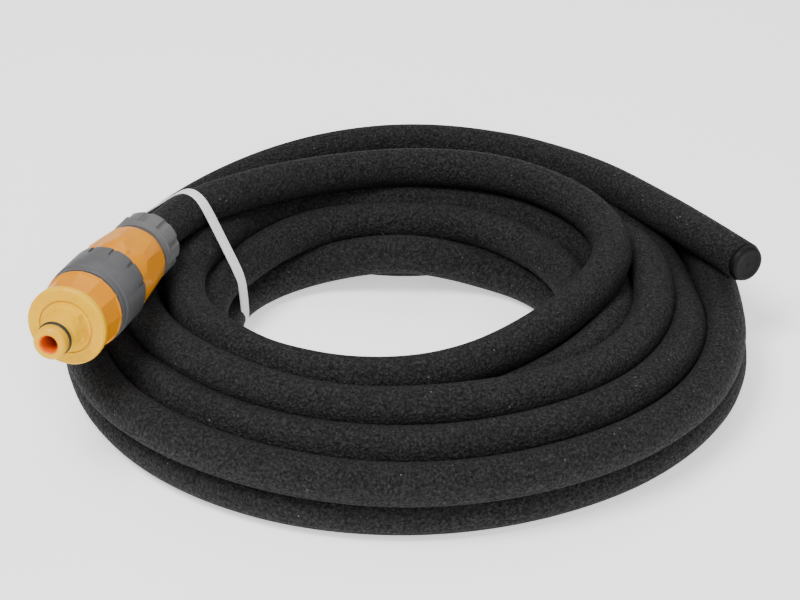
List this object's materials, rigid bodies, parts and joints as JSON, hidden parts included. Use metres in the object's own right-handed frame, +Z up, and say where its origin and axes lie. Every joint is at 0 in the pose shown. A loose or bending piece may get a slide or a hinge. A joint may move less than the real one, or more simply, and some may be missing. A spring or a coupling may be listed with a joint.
{
  "type": "soaker hose",
  "caption": "Coiled porous rubber soaker hose tied with a flat band, with a click connector and inlet adaptor on one end and a stopper in the other.",
  "frame": {"origin": "on the floor, under the centre of the whole model's box", "axes": "+Z up from the floor; +Y from the fitting's front towards the back of the coil; +X towards the hose's plugged end"},
  "size_m": [0.3059, 0.3, 0.0838],
  "materials": {
    "porous_rubber": "matt, granular recycled rubber",
    "woven_tie": "flat woven tape",
    "orange_plastic": "satin moulding",
    "yellow_plastic": "satin moulding",
    "grey_plastic": "fine matt moulding",
    "white_plastic": "natural acetal",
    "black_plastic": "smooth moulding",
    "seal_rubber": "smooth",
    "spring_steel": "drawn wire"
  },
  "bodies": {
    "hose": {"hose_coil": "porous_rubber", "hose_inlet_run": "porous_rubber", "hose_tail_run": "porous_rubber", "tie_strap": "woven_tie", "connector_body": "orange_plastic", "claw_ring": "white_plastic", "sleeve_spring": "spring_steel", "sleeve_stop_ring": "spring_steel"},
    "sleeve": {"release_sleeve": "grey_plastic"},
    "collet": {"hose_grip_collet": "white_plastic"},
    "nut": {"hose_nut": "grey_plastic"},
    "adaptor_seal": {"rear_oring": "seal_rubber"},
    "adaptor": {"adaptor_barrel": "orange_plastic", "adaptor_nose": "yellow_plastic", "front_oring": "seal_rubber", "barrel_seal": "seal_rubber", "control_washer": "seal_rubber", "flow_restrictor": "white_plastic", "filter_screen": "spring_steel"},
    "plug": {"end_plug": "black_plastic"}
  },
  "joints": [
    {"name": "sleeve_pull", "type": "slide", "parent": "hose", "child": "sleeve", "axis": [0.2736, 0.9541, -0.1219], "range_m": [0, 0.004], "stiffness_N_per_m": 1200, "springref_m": -0.002, "deforming": ["sleeve_spring", "claw_ring"]},
    {"name": "collet_travel", "type": "slide", "parent": "hose", "child": "collet", "axis": [0.2736, 0.9541, -0.1219], "range_m": [0, 0.006]},
    {"name": "nut_turn", "type": "hinge", "parent": "collet", "child": "nut", "pos_m": [-0.1095, -0.0123, 0.057], "axis": [-0.2736, -0.9541, 0.1219], "range_deg": [0, 540]},
    {"name": "adaptor_pull", "type": "slide", "parent": "hose", "child": "adaptor_seal", "axis": [-0.2736, -0.9541, 0.1219], "range_m": [0, 0.032], "deforming": ["claw_ring"]},
    {"name": "adaptor_swivel", "type": "hinge", "parent": "adaptor_seal", "child": "adaptor", "pos_m": [-0.13248, -0.09244, 0.06724], "axis": [-0.2736, -0.9541, 0.1219], "continuous": true},
    {"name": "plug_pull", "type": "slide", "parent": "hose", "child": "plug", "axis": [0.4988, -0.8646, 0.0599], "range_m": [0, 0.018]}
  ],
  "couplings": [
    {"joint": "collet_travel", "follows": "nut_turn", "m_per_rad": 0.00063662}
  ]
}
